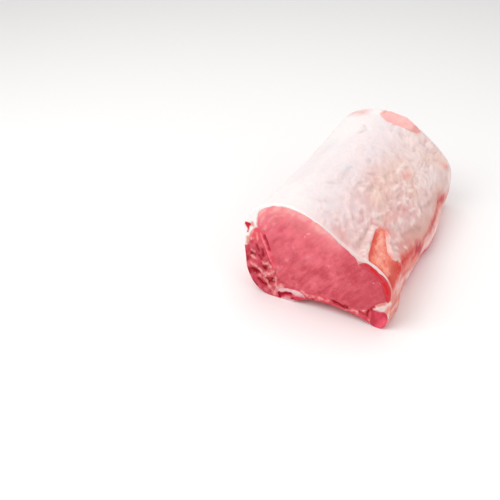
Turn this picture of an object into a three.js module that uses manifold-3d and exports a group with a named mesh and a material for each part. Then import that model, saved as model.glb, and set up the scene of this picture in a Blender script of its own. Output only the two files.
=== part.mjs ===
import * as THREE from 'three'
import { mergeVertices } from 'three/addons/utils/BufferGeometryUtils.js'
import Module from 'manifold-3d'

// Raw pork loin, cut square at both ends and lying fat side up. Millimetres, +Z up.
// +Y runs from the front cut to the back cut. The origin is under the middle of the loin,
// on the surface it lies on.

const LOIN_LENGTH = 216
const FRONT_SKEW = 9.4 // the left side of the front cut lies this much further back
const RIGHT_SIDE = 62 // where the skew starts
const LOIN_WIDTH = 128
const GAP = 0.3 // clearance between neighbouring pieces
const OVERRUN = 0.03 // part of the length that a cutter runs past each end
const SLIVER = 0.02

const COVER_DEPTH_IN_WINDOW = 4.4 // how deep the fat is trimmed where the lean shows
const FLOOR_CLEARANCE = 1.2 // the fat cover ends above the surface the loin lies on

const RIB_PITCH = 26
const RIB_RIDGE = 1.8 // how far the ribs stand out of the underside
const RIBS_RIGHT_OF = [-24, -8] // across, where the ridges rise from the flat left side
const RIBS_LEFT_OF = [36, 46] // and where they fade towards the right edge
const UNDERSIDE_BELOW = [7, 9]

const RIB_DEPTH = 11 // how far the cut rib runs back from the front cut
const RIB_MIDDLE = new THREE.Vector2(-22, 5)
const RIB_TAPER = 0.8

// The low waves of the fat side, with their lengths along and across the loin over 2 pi
const FAT_WAVES = [
  { height: 0.45, along: 17, across: 13 },
  { height: 0.3, along: 9, across: -21 },
]
const FAT_SIDE_ABOVE = [55, 75]
const CALM_ENDS = 0.06 // part of the length near each cut where the waves die out

// How far the foot of the right flank stands out, as [distance from the front cut, outwards]
const FLANK_FOOT = [
  [0, -1], [10, 1], [20, 2], [30, 0], [48, -4.8], [62, -2.6], [84, -1.6], [104, -0.4],
  [126, 3.2], [145, 3.6], [165, 2], [190, -0.4], [216, -0.4],
]
const FOOT_BELOW = [14, 32]
const FOOT_RIGHT_OF = [35, 60]

// Outlines of the whole loin at its two cuts and half way along, as [across, up].
const FRONT_OUTLINE = [
  [54, -1.2], [60, 4], [62, 12], [61.8, 24], [61.2, 36], [58, 45], [51, 52.5], [41, 58.5],
  [30, 62], [18, 69], [-2, 80.5], [-26, 88], [-47, 83.5], [-60, 73], [-65.5, 60], [-65, 48],
  [-63.5, 34], [-61.5, 19], [-53, 5], [-36, -1.5], [-20, 0.6], [-8, 5], [8, 6.8], [24, 5.6],
  [40, 3], [47, 1.2],
]
const MIDDLE_OUTLINE = [
  [54, -1.2], [60.5, 5], [62, 16], [61.5, 27], [58, 41], [45, 54], [26, 67.5], [4, 80],
  [-21, 85], [-43, 77], [-56, 65], [-61, 50], [-60.5, 33], [-58, 17], [-49.5, 4.5],
  [-34, -1.5], [-20, 0.5], [-6, 3], [10, 4], [28, 3.4], [44, 0.8],
]
const BACK_OUTLINE = [
  [54, -1.2], [60.5, 9], [61.8, 24], [59.5, 40], [49.5, 54], [32, 69.3], [11, 82.6],
  [-15, 87.6], [-37, 81.6], [-50, 70], [-58, 54], [-59, 34], [-56, 17], [-48, 4.5],
  [-33, -1.5], [-20, 0.3], [-6, 2.3], [10, 3], [28, 2.6], [44, 0.4],
]
const AXIS = new THREE.Vector2(-2, 42) // the line inside the loin that its outlines go round

// Outlines of the muscles at the front cut. Those that reach the outside of the loin run past it.
const EYE_OUTLINE = [
  [-52.5, 64], [-52.3, 72], [-47.5, 79.5], [-38, 84.4], [-27, 86.1], [-15, 84.1], [-4, 79.8],
  [6, 74.6], [16, 67.5], [25, 61.8], [30, 57.5], [32, 51.8], [41.3, 47], [48.4, 40.4],
  [52.6, 32], [53.3, 25], [47, 18.8], [42.5, 14], [35, 11.3], [25, 11.6], [13, 13.3], [2, 13.2],
  [-12, 13.2], [-24, 14.8], [-33, 18], [-36, 27], [-39, 35.5], [-42.2, 44.5], [-46.3, 54.5],
]
const BACK_STRIP_OUTLINE = [
  [-49.5, 58], [-46.5, 51], [-42.8, 42], [-39.6, 33.5], [-37.4, 27.7], [-39.2, 25.6],
  [-42.2, 31], [-45.5, 39], [-49, 48], [-52.3, 56], [-52.4, 59.4],
]
const RIB_MEAT_OUTLINE = [
  [-72, 46], [-64, 49.5], [-59, 53.5], [-56, 56], [-54, 54.5], [-50.5, 46.5], [-47, 38],
  [-43.6, 29.5], [-40.6, 24], [-37.5, 17.5], [-32, 14.2], [-24, 12.9], [-12, 11.4], [2, 11.6],
  [13, 11.7], [24, 9.9], [34, 9.3], [41.5, 9.6], [44, 7.2], [44.2, 5], [44, 3],
  [43.6, 1], [42.8, -2], [41, -5.5], [37, -8], [25, -8], [-50, -8], [-65, -8], [-72, 0],
  [-73, 20],
]
const RIB_OUTLINE = [
  [-33.6, 2], [-34, 8], [-29, 11.3], [-20, 12.6], [-13, 11.6], [-9.4, 8], [-9, 2], [-16, -3],
  [-28, -3],
]
const FLANK_OUTLINE = [
  [32.2, 53.5], [40, 55.8], [46.5, 52.8], [52.5, 48.2], [56.8, 42.8], [59.2, 37.5],
  [59.5, 31], [58.7, 26.8], [56.4, 25.6], [54.6, 31], [51, 39.5], [43.5, 47.2], [34, 51.8],
]
const CORNER_OUTLINE = [
  [45.6, 9], [47.3, 12.8], [51.5, 15.3], [57, 14.6], [59.8, 10.5], [59.6, 6], [58.6, 1],
  [56, -3], [50.5, -3.5], [47.3, -0.8], [46, 2.6], [45.4, 6],
]

// Where the fat cover is trimmed away, seen from the right, as [distance from the cut, up]
const FLANK_WINDOW = [
  [3, 29], [2.5, 45], [5, 55], [20, 59.6], [36, 61.3], [44, 57], [47, 52], [40, 47], [34, 44],
  [36, 40], [42, 37], [54, 35], [78, 31], [107, 26.4], [129, 31], [143, 37], [160, 38.4],
  [176, 37.8], [171, 26], [160, 21], [151, 14], [123, 13], [76, 18], [40, 26], [18, 27],
]
// The same at the back cut, seen from above, as [across, distance from the front cut]
const BACK_RIGHT_WINDOW = [
  [-21, 222], [-13, 205], [-3.4, 198], [6, 201], [13, 200], [20, 201], [24, 211], [31, 222],
]
const BACK_LEFT_WINDOW = [[-50, 222], [-47.5, 211], [-37, 202], [-30, 201], [-27, 222]]

// How the muscles change behind the front cut
const EYE_RISE = 1.2 // the eye comes up to the surface at the back cut
const EYE_RISES = [190, 206]
const EYE_TOP_ABOVE = [50, 66]
const FLANK_CLIMB = new THREE.Vector2(-5.5, 6.6) // its upper edge climbs over the eye
const FLANK_CLIMBS = [4, 18]
const FLANK_CLIMB_FROM = 44
const FLANK_CLIMB_OVER = 12
const FLANK_DROP = 1.3 // its lower part grows this much longer half way along
const FLANK_DROPS = [40, 110]
const FLANK_RISES = [150, 180]
const FLANK_DROP_FROM = 36
const CORNER_FLATTENING = 0.35
const CORNER_FLATTENS = [20, 80]
const CORNER_FILLS = [160, 200]

// Points round each outline and sections along each solid
const REACH_POINTS = 128
const OUTER_POINTS = 56
const EYE_POINTS = 40
const BACK_STRIP_POINTS = 22
const RIB_MEAT_POINTS = 48
const FLANK_POINTS = 26
const CORNER_POINTS = 24
const RIB_POINTS = 18
const OUTER_STEPS = 32
const MUSCLE_STEPS = 10
const FLANK_STEPS = 14
const FLANK_FRONT_PARTS = [0, 0.025, 0.05, 0.08, 0.11] // closer together where it climbs
const RIB_STEPS = 4

const WINDOW_CUT = 60 // how deep the window cutters reach
const SIDE_CUT_FROM = 22
const TOP_CUT_FROM = 60

const COLOURS = {
  eye_muscle: 0xe0727c,
  back_strip: 0xc83f52,
  rib_meat: 0xb23a50,
  cut_rib: 0xf0d9d6,
  flank_muscle: 0xd84a48,
  corner_muscle: 0xd9566c,
  fat_cover: 0xf3e2df,
}

const wasm = await Module()
wasm.setup()

const { smoothstep, clamp } = THREE.MathUtils

function closedCurve(outline, points) {
  const knots = outline.map(([x, z]) => new THREE.Vector3(x, z, 0))
  const curve = new THREE.CatmullRomCurve3(knots, true, 'catmullrom', 0.5)
  return curve.getPoints(points).slice(0, points).map((p) => new THREE.Vector2(p.x, p.y))
}

// The same outline moved outwards, or inwards where the distance is negative
function grow(points, distance) {
  const turn = THREE.ShapeUtils.isClockWise(points) ? 1 : -1
  return points.map((point, i) => {
    const before = points.at(i - 1)
    const after = points[(i + 1) % points.length]
    const along = after.clone().sub(before).normalize()
    return new THREE.Vector2(-along.y, along.x).multiplyScalar(turn * distance).add(point)
  })
}

// Distance from the loin's axis to an outline, in a given direction
function reach(outline, direction) {
  let furthest = 0
  outline.forEach((start, i) => {
    const end = outline[(i + 1) % outline.length]
    const startSide = start.cross(direction)
    const endSide = end.cross(direction)
    if (startSide * endSide > 0 || startSide === endSide) return
    const crossing = start.clone().lerp(end, startSide / (startSide - endSide))
    furthest = Math.max(furthest, crossing.dot(direction))
  })
  return furthest
}

const [frontReach, middleReach, backReach] = [FRONT_OUTLINE, MIDDLE_OUTLINE, BACK_OUTLINE].map(
  (outline) => closedCurve(outline, REACH_POINTS).map((p) => p.sub(AXIS)),
)

// How far the flank's foot stands out at a distance from the front cut, level past both ends
function flankFoot(distance) {
  const next = FLANK_FOOT.findIndex(([place]) => place > distance)
  if (next === 0) return FLANK_FOOT[0][1]
  if (next < 0) return FLANK_FOOT.at(-1)[1]
  const [start, from] = FLANK_FOOT[next - 1]
  const [end, to] = FLANK_FOOT[next]
  return from + (to - from) * smoothstep(distance, start, end)
}

// Takes a point of the front cut to its place further along the loin. part runs from 0 to 1.
function place(across, up, part) {
  const offset = new THREE.Vector2(across, up).sub(AXIS)
  const direction = offset.clone().normalize()
  const front = reach(frontReach, direction)
  const middle = reach(middleReach, direction)
  const back = reach(backReach, direction)
  const here = front * 2 * (part - 0.5) * (part - 1) + middle * 4 * part * (1 - part)
    + back * 2 * part * (part - 0.5)
  offset.multiplyScalar(here / front).add(AXIS)
  const skew = (FRONT_SKEW * (RIGHT_SIDE - offset.x)) / LOIN_WIDTH
  const distance = part * LOIN_LENGTH
  const foot = flankFoot(distance) * smoothstep(offset.x, ...FOOT_RIGHT_OF)
    * (1 - smoothstep(offset.y, ...FOOT_BELOW))
  return new THREE.Vector3(
    offset.x + foot,
    distance - LOIN_LENGTH / 2 + skew * (1 - part),
    offset.y,
  )
}

// A solid with this outline at the front cut, running along the loin with a section at each of
// these parts of its length. settle may move a point of the outline before it is put in its place.
function runAlong(points, parts, settle = (point) => point) {
  const steps = parts.length - 1
  const geometry = new THREE.ExtrudeGeometry(new THREE.Shape(points), {
    depth: steps, steps, bevelEnabled: false,
  })
  const positions = geometry.attributes.position
  for (let i = 0; i < positions.count; i++) {
    const part = parts[Math.round(positions.getZ(i))]
    const point = settle(new THREE.Vector2(positions.getX(i), positions.getY(i)), part)
    positions.setXYZ(i, ...place(point.x, point.y, part).toArray())
  }
  return toSolid(geometry)
}

function toSolid(geometry) {
  geometry.deleteAttribute('normal')
  geometry.deleteAttribute('uv')
  const merged = mergeVertices(geometry, 1e-4)
  const corners = merged.index.array
  const vertices = merged.attributes.position
  const [a, b, c] = [0, 1, 2].map(() => new THREE.Vector3())
  let volume = 0
  for (let i = 0; i < corners.length; i += 3) {
    a.fromBufferAttribute(vertices, corners[i])
    b.fromBufferAttribute(vertices, corners[i + 1])
    c.fromBufferAttribute(vertices, corners[i + 2])
    volume += a.dot(b.cross(c))
  }
  const triVerts = new Uint32Array(corners)
  if (volume < 0) triVerts.reverse()
  return new wasm.Manifold(new wasm.Mesh({
    numProp: 3, vertProperties: new Float32Array(vertices.array), triVerts,
  }))
}

// The largest body of a solid, without the crumbs and slivers that a cut leaves
function largest(solid) {
  const body = solid.decompose().reduce((a, b) => (a.volume() > b.volume() ? a : b))
  return body.simplify(SLIVER)
}

function toMesh(name, solid) {
  const { vertProperties, triVerts, numProp } = largest(solid).getMesh()
  const positions = new Float32Array((vertProperties.length / numProp) * 3)
  for (let i = 0; i < positions.length / 3; i++) {
    positions.set(vertProperties.subarray(i * numProp, i * numProp + 3), i * 3)
  }
  const geometry = new THREE.BufferGeometry()
  geometry.setAttribute('position', new THREE.BufferAttribute(positions, 3))
  geometry.setIndex(new THREE.BufferAttribute(new Uint32Array(triVerts), 1))
  const material = new THREE.MeshStandardMaterial({
    color: COLOURS[name], roughness: 0.4, metalness: 0,
  })
  const mesh = new THREE.Mesh(geometry, material)
  mesh.name = name
  return mesh
}

// The whole loin, with the ribs standing out of its underside and the fat side slightly wavy
function settleOutside(point, part) {
  const distance = part * LOIN_LENGTH
  const underside = (1 - smoothstep(point.y, ...UNDERSIDE_BELOW))
    * smoothstep(point.x, ...RIBS_RIGHT_OF)
    * (1 - smoothstep(point.x, ...RIBS_LEFT_OF))
  const betweenRibs = 0.5 + 0.5 * Math.cos((2 * Math.PI * distance) / RIB_PITCH)
  const fatSide = smoothstep(point.y, ...FAT_SIDE_ABOVE)
    * smoothstep(Math.min(part, 1 - part), 0, CALM_ENDS)
  let rise = RIB_RIDGE * underside * betweenRibs
  for (const { height, along, across } of FAT_WAVES) {
    rise += fatSide * height * Math.sin(distance / along + point.x / across)
  }
  return new THREE.Vector2(point.x, point.y + rise)
}

function settleEye(point, part) {
  const rise = EYE_RISE * smoothstep(part * LOIN_LENGTH, ...EYE_RISES)
    * smoothstep(point.y, ...EYE_TOP_ABOVE)
  return new THREE.Vector2(point.x, point.y + rise)
}

function settleFlank(point, part) {
  const distance = part * LOIN_LENGTH
  const climb = smoothstep(distance, ...FLANK_CLIMBS)
    * clamp((FLANK_CLIMB_FROM - point.x) / FLANK_CLIMB_OVER, 0, 1)
  const drop = smoothstep(distance, ...FLANK_DROPS) * (1 - smoothstep(distance, ...FLANK_RISES))
  const settled = FLANK_CLIMB.clone().multiplyScalar(climb).add(point)
  settled.y -= Math.max(0, FLANK_DROP_FROM - point.y) * FLANK_DROP * drop
  return settled
}

function settleCorner(point, part) {
  const distance = part * LOIN_LENGTH
  const flat = smoothstep(distance, ...CORNER_FLATTENS)
    * (1 - smoothstep(distance, ...CORNER_FILLS))
  return new THREE.Vector2(point.x, point.y * (1 - CORNER_FLATTENING * flat))
}

// The cut rib narrows to a blunt end inside the meat
function settleRib(point, part) {
  const inwards = clamp((part * LOIN_LENGTH) / RIB_DEPTH, 0, 1)
  const narrowing = Math.sqrt(1 - RIB_TAPER * inwards ** 2)
  return point.sub(RIB_MIDDLE).multiplyScalar(narrowing).add(RIB_MIDDLE)
}

// A muscle, and the larger solid that makes room for it in its neighbours
function muscle(outline, points, parts, settle) {
  const edge = closedCurve(outline, points)
  return {
    body: runAlong(edge, parts, settle),
    room: runAlong(grow(edge, GAP), [-OVERRUN, ...parts, 1 + OVERRUN], settle),
  }
}

// Evenly spaced parts of the length
function evenly(steps, to = 1) {
  return Array.from({ length: steps + 1 }, (_, i) => (to * i) / steps)
}

// A window in the fat cover, from its outline as [distance from the front cut, up]
function sideWindow(outline) {
  const shape = new THREE.Shape(outline.map(([y, z]) => new THREE.Vector2(y, z)))
  const geometry = new THREE.ExtrudeGeometry(shape, { depth: WINDOW_CUT, bevelEnabled: false })
  const toSide = new THREE.Matrix4().set(
    0, 0, 1, SIDE_CUT_FROM,
    1, 0, 0, -LOIN_LENGTH / 2,
    0, 1, 0, 0,
    0, 0, 0, 1,
  )
  return toSolid(geometry.applyMatrix4(toSide))
}

// The same on top of the loin, from its outline as [across, distance from the front cut]
function topWindow(outline) {
  const shape = new THREE.Shape(outline.map(([x, y]) => new THREE.Vector2(x, y)))
  const geometry = new THREE.ExtrudeGeometry(shape, { depth: WINDOW_CUT, bevelEnabled: false })
  return toSolid(geometry.translate(0, -LOIN_LENGTH / 2, TOP_CUT_FROM))
}

// Everything below a given height
function below(height) {
  const depth = 20
  const block = new THREE.BoxGeometry(2 * LOIN_WIDTH, 2 * LOIN_LENGTH, depth)
  return toSolid(block.translate(0, 0, height - depth / 2))
}

const muscleParts = evenly(MUSCLE_STEPS)
const flankParts = [
  ...FLANK_FRONT_PARTS,
  ...evenly(FLANK_STEPS).filter((part) => part > FLANK_FRONT_PARTS.at(-1)),
]
const eye = muscle(EYE_OUTLINE, EYE_POINTS, muscleParts, settleEye)
const backStrip = muscle(BACK_STRIP_OUTLINE, BACK_STRIP_POINTS, muscleParts)
const ribMeat = muscle(RIB_MEAT_OUTLINE, RIB_MEAT_POINTS, muscleParts)
const flank = muscle(FLANK_OUTLINE, FLANK_POINTS, flankParts, settleFlank)
const corner = muscle(CORNER_OUTLINE, CORNER_POINTS, muscleParts, settleCorner)

const ribEdge = closedCurve(RIB_OUTLINE, RIB_POINTS)
const ribParts = evenly(RIB_STEPS, RIB_DEPTH / LOIN_LENGTH)
const rib = runAlong(ribEdge, ribParts, settleRib)
const ribRoomParts = [-OVERRUN, ...ribParts, (RIB_DEPTH + GAP) / LOIN_LENGTH]
const ribRoom = runAlong(grow(ribEdge, GAP), ribRoomParts, settleRib)

const outerEdge = closedCurve(FRONT_OUTLINE, OUTER_POINTS)
const outside = runAlong(outerEdge, evenly(OUTER_STEPS), settleOutside).subtract(below(0))
const underFat = runAlong(grow(outerEdge, -COVER_DEPTH_IN_WINDOW), muscleParts)
const windows = sideWindow(FLANK_WINDOW)
  .add(topWindow(BACK_RIGHT_WINDOW))
  .add(topWindow(BACK_LEFT_WINDOW))
const lean = [eye, backStrip, ribMeat, flank, corner].reduce((all, { room }) => all.add(room), ribRoom)
const fatCover = outside.subtract(windows).add(underFat)
  .subtract(lean)
  .subtract(below(FLOOR_CLEARANCE))

const loin = new THREE.Group()
loin.add(
  toMesh('eye_muscle', eye.body.subtract(flank.room)),
  toMesh('back_strip', backStrip.body),
  toMesh('rib_meat', ribMeat.body.intersect(outside).subtract(ribRoom)),
  toMesh('cut_rib', rib.intersect(outside)),
  toMesh('flank_muscle', flank.body),
  toMesh('corner_muscle', corner.body.intersect(outside)),
  toMesh('fat_cover', fatCover),
)

// The origin goes under the middle of the whole loin
const middle = new THREE.Box3().setFromObject(loin).getCenter(new THREE.Vector3())
loin.position.set(-middle.x, -middle.y, 0)

export default loin
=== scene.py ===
import math

import bmesh
import bpy
import numpy as np
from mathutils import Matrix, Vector
from mathutils.geometry import delaunay_2d_cdt


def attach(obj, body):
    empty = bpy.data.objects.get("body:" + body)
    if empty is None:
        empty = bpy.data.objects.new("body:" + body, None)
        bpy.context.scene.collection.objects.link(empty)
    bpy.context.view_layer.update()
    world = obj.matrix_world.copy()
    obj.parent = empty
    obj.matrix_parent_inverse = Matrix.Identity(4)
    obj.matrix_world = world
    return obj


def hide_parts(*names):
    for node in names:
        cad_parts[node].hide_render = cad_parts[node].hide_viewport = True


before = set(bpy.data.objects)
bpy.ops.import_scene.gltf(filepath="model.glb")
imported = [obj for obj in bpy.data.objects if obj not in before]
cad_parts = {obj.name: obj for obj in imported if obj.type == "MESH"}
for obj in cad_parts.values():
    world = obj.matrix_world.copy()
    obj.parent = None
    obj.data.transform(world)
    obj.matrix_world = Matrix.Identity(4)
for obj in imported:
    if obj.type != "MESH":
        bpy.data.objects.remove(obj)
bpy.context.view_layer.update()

# The back strip: the narrow strip of darker lean at the left of the round eye, a muscle of its
# own that is grown to it and runs the whole length of the loin. Like every piece here it is laid
# out in millimetres as (across, up) at the front cut, and runs back within the loin's outside.
LENGTH = 216.0
WIDTH = 128.0
RIGHT_SIDE = 62.0
FRONT_SKEW = 9.4  # the left side of the front cut lies this much further back
TO_MIDDLE = 0.247  # from the outlines' middle line to the middle of the loin
AXIS = np.array([-2.0, 42.0])  # the line that the outside of the loin goes round
METRES = 0.001
ROUND_POINTS = 1440  # how finely an outline is read by its directions

FRONT_OUTLINE = [
    (54, -1.2), (60, 4), (62, 12), (61.8, 24), (61.2, 36), (58, 45), (51, 52.5), (41, 58.5),
    (30, 62), (18, 69), (-2, 80.5), (-26, 88), (-47, 83.5), (-60, 73), (-65.5, 60), (-65, 48),
    (-63.5, 34), (-61.5, 19), (-53, 5), (-36, -1.5), (-20, 0.6), (-8, 5), (8, 6.8), (24, 5.6),
    (40, 3), (47, 1.2),
]
MIDDLE_OUTLINE = [
    (54, -1.2), (60.5, 5), (62, 16), (61.5, 27), (58, 41), (45, 54), (26, 67.5), (4, 80),
    (-21, 85), (-43, 77), (-56, 65), (-61, 50), (-60.5, 33), (-58, 17), (-49.5, 4.5), (-34, -1.5),
    (-20, 0.5), (-6, 3), (10, 4), (28, 3.4), (44, 0.8),
]
BACK_OUTLINE = [
    (54, -1.2), (60.5, 9), (61.8, 24), (59.5, 40), (49.5, 54), (32, 69.3), (11, 82.6), (-15, 87.6),
    (-37, 81.6), (-50, 70), (-58, 54), (-59, 34), (-56, 17), (-48, 4.5), (-33, -1.5), (-20, 0.3),
    (-6, 2.3), (10, 3), (28, 2.6), (44, 0.4),
]
# How far the foot of the right flank stands out, as (distance from the front cut, outwards)
FLANK_FOOT = [
    (0, -1.4), (10, -0.4), (20, 0.6), (30, -1), (48, -4.8), (62, -2.6), (84, -1.6), (104, -0.4),
    (126, 3.2), (145, 3.6), (165, 2), (190, -0.4), (216, -0.4),
]
FOOT_BELOW = (14, 32)  # the foot fades out between these heights, and towards the middle
FOOT_RIGHT_OF = (35, 60)


def smooth(value, low, high):
    """0 below low, 1 above high, and an even curve between them"""
    step = np.clip((value - low) / (high - low), 0, 1)
    return step * step * (3 - 2 * step)


def closed_curve(knots, points):
    """A rounded closed line through these knots"""
    knots = np.array(knots, float)
    count = len(knots)
    at = np.arange(points) * count / points
    start = np.floor(at).astype(int)
    step = (at - start)[:, None]
    a, b, c, d = (knots[(start + k) % count] for k in (-1, 0, 1, 2))
    return 0.5 * (2 * b + (c - a) * step + (2 * a - 5 * b + 4 * c - d) * step ** 2
                  + (3 * b - a - 3 * c + d) * step ** 3)


def even_edge(knots, spacing):
    """The same line, with its points the same distance apart"""
    fine = closed_curve(knots, 40 * len(knots))
    loop = np.vstack([fine, fine[:1]])
    length = np.concatenate([[0], np.cumsum(np.hypot(*np.diff(loop, axis=0).T))])
    at = np.arange(0, length[-1] - spacing / 2, spacing)
    return np.column_stack([np.interp(at, length, loop[:, k]) for k in (0, 1)])


def grow(edge, distance):
    """An outline moved outwards, or inwards where the distance is negative"""
    before, after = np.roll(edge, 1, 0), np.roll(edge, -1, 0)
    area = (edge[:, 0] * after[:, 1] - after[:, 0] * edge[:, 1]).sum()
    along = after - before
    along /= np.hypot(*along.T)[:, None]
    return edge + distance * math.copysign(1, area) * np.column_stack([along[:, 1], -along[:, 0]])


def reach_table(outline):
    """How far an outline lies from the axis, by direction"""
    offset = closed_curve(outline, ROUND_POINTS) - AXIS
    turn = np.arctan2(offset[:, 1], offset[:, 0])
    order = np.argsort(turn)
    return turn[order], np.hypot(*offset.T)[order]


REACHES = [reach_table(outline) for outline in (FRONT_OUTLINE, MIDDLE_OUTLINE, BACK_OUTLINE)]


def directions(points):
    """In which direction from the axis points lie"""
    offset = points - AXIS
    return np.arctan2(offset[..., 1], offset[..., 0])


def flank_foot(distance):
    """How far the foot of the right flank stands out at this distance from the front cut"""
    places, stands = np.array(FLANK_FOOT, float).T
    here = np.clip(np.searchsorted(places, distance, side="right") - 1, 0, len(places) - 2)
    step = smooth(distance, places[here], places[here + 1])
    return stands[here] + (stands[here + 1] - stands[here]) * step


def stretch(points, part):
    """How many times as far out as at the front cut the outside lies, in the points' directions"""
    turn = directions(points)
    front, middle, back = (np.interp(turn, *table, period=2 * math.pi) for table in REACHES)
    here = (front * 2 * (part - 0.5) * (part - 1) + middle * 4 * part * (1 - part)
            + back * 2 * part * (part - 0.5))
    return (here / front)[..., None]


def place(points, part):
    """Points of the front cut, taken to their place at this part of the length"""
    spots = (points - AXIS) * stretch(points, part) + AXIS
    across, up = spots[..., 0], spots[..., 1]
    distance = part * LENGTH
    skew = FRONT_SKEW * (RIGHT_SIDE - across) / WIDTH
    foot = flank_foot(distance) * smooth(across, *FOOT_RIGHT_OF) * (1 - smooth(up, *FOOT_BELOW))
    return np.stack([across + foot + TO_MIDDLE,
                     distance - LENGTH / 2 + skew * (1 - part),
                     up], -1)


def depth(points, ring):
    """How far points lie inside a closed outline; negative outside it"""
    start, run = ring, np.roll(ring, -1, 0) - ring
    depths = np.empty(len(points))
    for chunk in np.array_split(np.arange(len(points)), 1 + len(points) * len(ring) // 1_000_000):
        away = points[chunk][:, None] - start
        step = np.clip((away * run).sum(-1) / (run ** 2).sum(-1), 0, 1)
        gap = np.sqrt(((away - step[..., None] * run) ** 2).sum(-1)).min(1)
        spans = (away[..., 1] < 0) != (away[..., 1] < run[:, 1])
        rise = np.where(run[:, 1] == 0, 1, run[:, 1])
        crossings = (spans & (away[..., 0] < run[:, 0] * away[..., 1] / rise)).sum(1)
        depths[chunk] = np.where(crossings % 2 == 1, gap, -gap)
    return depths


TRIANGLE_HEIGHT = 0.87  # of its side
EDGE_MARGIN = 0.6


def fill(edge, spacing):
    """Points inside an outline and the triangles between all of them, the edge's points first"""
    low, high = edge.min(0), edge.max(0)
    rows = math.ceil((high[1] - low[1]) / (TRIANGLE_HEIGHT * spacing))
    across, row = np.meshgrid(np.arange(low[0], high[0], spacing), np.arange(rows))
    grid = np.column_stack([(across + spacing / 2 * (row % 2)).ravel(),
                            (low[1] + TRIANGLE_HEIGHT * spacing * row).ravel()])
    points = np.vstack([edge, grid[depth(grid, edge) > EDGE_MARGIN * spacing]])
    loop = [(k, (k + 1) % len(edge)) for k in range(len(edge))]
    _, _, triangles, origins, _, _ = delaunay_2d_cdt(
        [Vector(point) for point in points], loop, [], 1, 1e-6)
    return points[len(edge):], [[origins[k][0] for k in triangle] for triangle in triangles]


COARSE_GRAIN = 4.0  # for cuts that don't show


def as_drawn(points, part):
    """The outline of a piece that keeps its place all along the loin"""
    return points


def run_along(edge, parts, settle=as_drawn, grain=COARSE_GRAIN):
    """A closed solid with this outline, running along the loin; grain is how finely its cuts are
    filled with points"""
    count = len(edge)
    rings = [place(settle(edge, part), part) for part in parts]
    faces = []
    for lower in range(0, count * (len(parts) - 1), count):
        for k in range(count):
            beside = (k + 1) % count
            faces.append([lower + k, lower + beside, lower + count + beside, lower + count + k])
    vertices = rings
    total = count * len(parts)
    for end, part in ((0, parts[0]), (count * (len(parts) - 1), parts[-1])):
        shape = settle(edge, part)
        inner, triangles = fill(shape, grain)
        vertices.append(place(inner, part))
        where = [end + k for k in range(count)] + [total + k for k in range(len(inner))]
        total += len(inner)
        for triangle in triangles:
            corners = [where[k] for k in triangle]
            faces.append(corners if end else corners[::-1])
    return np.vstack(vertices), faces


def to_object(name, solid):
    """A mesh object of a solid, with its faces turned outwards"""
    vertices, faces = solid
    mesh = bpy.data.meshes.new(name)
    mesh.from_pydata((vertices * METRES).tolist(), [], faces)
    shape = bmesh.new()
    shape.from_mesh(mesh)
    bmesh.ops.recalc_face_normals(shape, faces=shape.faces)
    shape.to_mesh(mesh)
    shape.free()
    piece = bpy.data.objects.new(name, mesh)
    bpy.context.scene.collection.objects.link(piece)
    return piece


def positions(piece):
    """The places of a piece's vertices, in millimetres"""
    places = np.empty(3 * len(piece.data.vertices))
    piece.data.vertices.foreach_get("co", places)
    return places.reshape(-1, 3) / METRES


def move(piece, places):
    """Puts a piece's vertices at these places"""
    piece.data.vertices.foreach_set("co", (places * METRES).ravel())
    piece.data.update()


def behind_cuts(places):
    """How far points lie behind the front cut and in front of the back cut"""
    skew = FRONT_SKEW * (RIGHT_SIDE + TO_MIDDLE - places[:, 0]) / WIDTH
    return places[:, 1] + LENGTH / 2 - skew, LENGTH / 2 - places[:, 1]


FRONT_CUT_WITHIN = 0.12  # how near to a cut's plane a point belongs to it
BACK_CUT_WITHIN = 0.02


def on_cut(places):
    """The points at the front cut and at the back cut, and all of them taken to the front cut"""
    front, back = behind_cuts(places)
    flat = places[:, [0, 2]] - [TO_MIDDLE, 0]
    flat = (flat - AXIS) / stretch(flat, front / (front + back)) + AXIS
    return np.abs(front) < FRONT_CUT_WITHIN, np.abs(back) < BACK_CUT_WITHIN, flat


def marks(points, strokes, fade=1.0):
    """How far strokes of (half width, path) cover points: a half at their edges"""
    cover = np.zeros(len(points))
    for reach, path in strokes:
        path = np.array(path, float)
        start = path[:-1] if len(path) > 1 else path
        run = np.diff(path, axis=0) if len(path) > 1 else np.zeros((1, 2))
        away = points[:, None] - start
        step = np.clip((away * run).sum(-1) / np.maximum((run ** 2).sum(-1), 1e-9), 0, 1)
        gap = np.sqrt(((away - step[..., None] * run) ** 2).sum(-1)).min(1)
        cover = np.maximum(cover, np.clip(0.5 + (reach - gap) / (2 * fade), 0, 1))
    return cover


def warped(points, seed, reach=0.9, size=3.5):
    """Points pushed about a little, so that what is drawn at them gets ragged"""
    u, v = points.T / size
    return points + reach * np.column_stack([ripple(u, v, seed), ripple(u, v, seed + 1)])


def ripple(u, v, seed):
    """Soft random waves between -1 and 1, one or two units long"""
    turns = np.random.default_rng(seed).uniform(0, 2 * math.pi, (256, 256))
    column, row = np.floor(u).astype(int), np.floor(v).astype(int)
    step_u, step_v = u - column, v - row

    def slope(right, up):
        turn = turns[(column + right) % 256, (row + up) % 256]
        return np.cos(turn) * (step_u - right) + np.sin(turn) * (step_v - up)

    ease_u, ease_v = smooth(step_u, 0, 1), smooth(step_v, 0, 1)
    low, high = (slope(0, up) * (1 - ease_u) + slope(1, up) * ease_u for up in (0, 1))
    return 1.6 * (low * (1 - ease_v) + high * ease_v)


OUTSIDE_POINTS = 400  # how finely the loin's outside is read for depths below it
SWELL_REACH = 2.0  # how far in from its edge a cut piece swells to its full height
EDGE_PRESS = 0.1  # how much its edge is rounded off,
EDGE_REACH = 0.5  # and how far in
CUT_WAVE = 0.12  # how uneven the cut is
CUT_WAVE_LENGTH = 4.0


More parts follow.
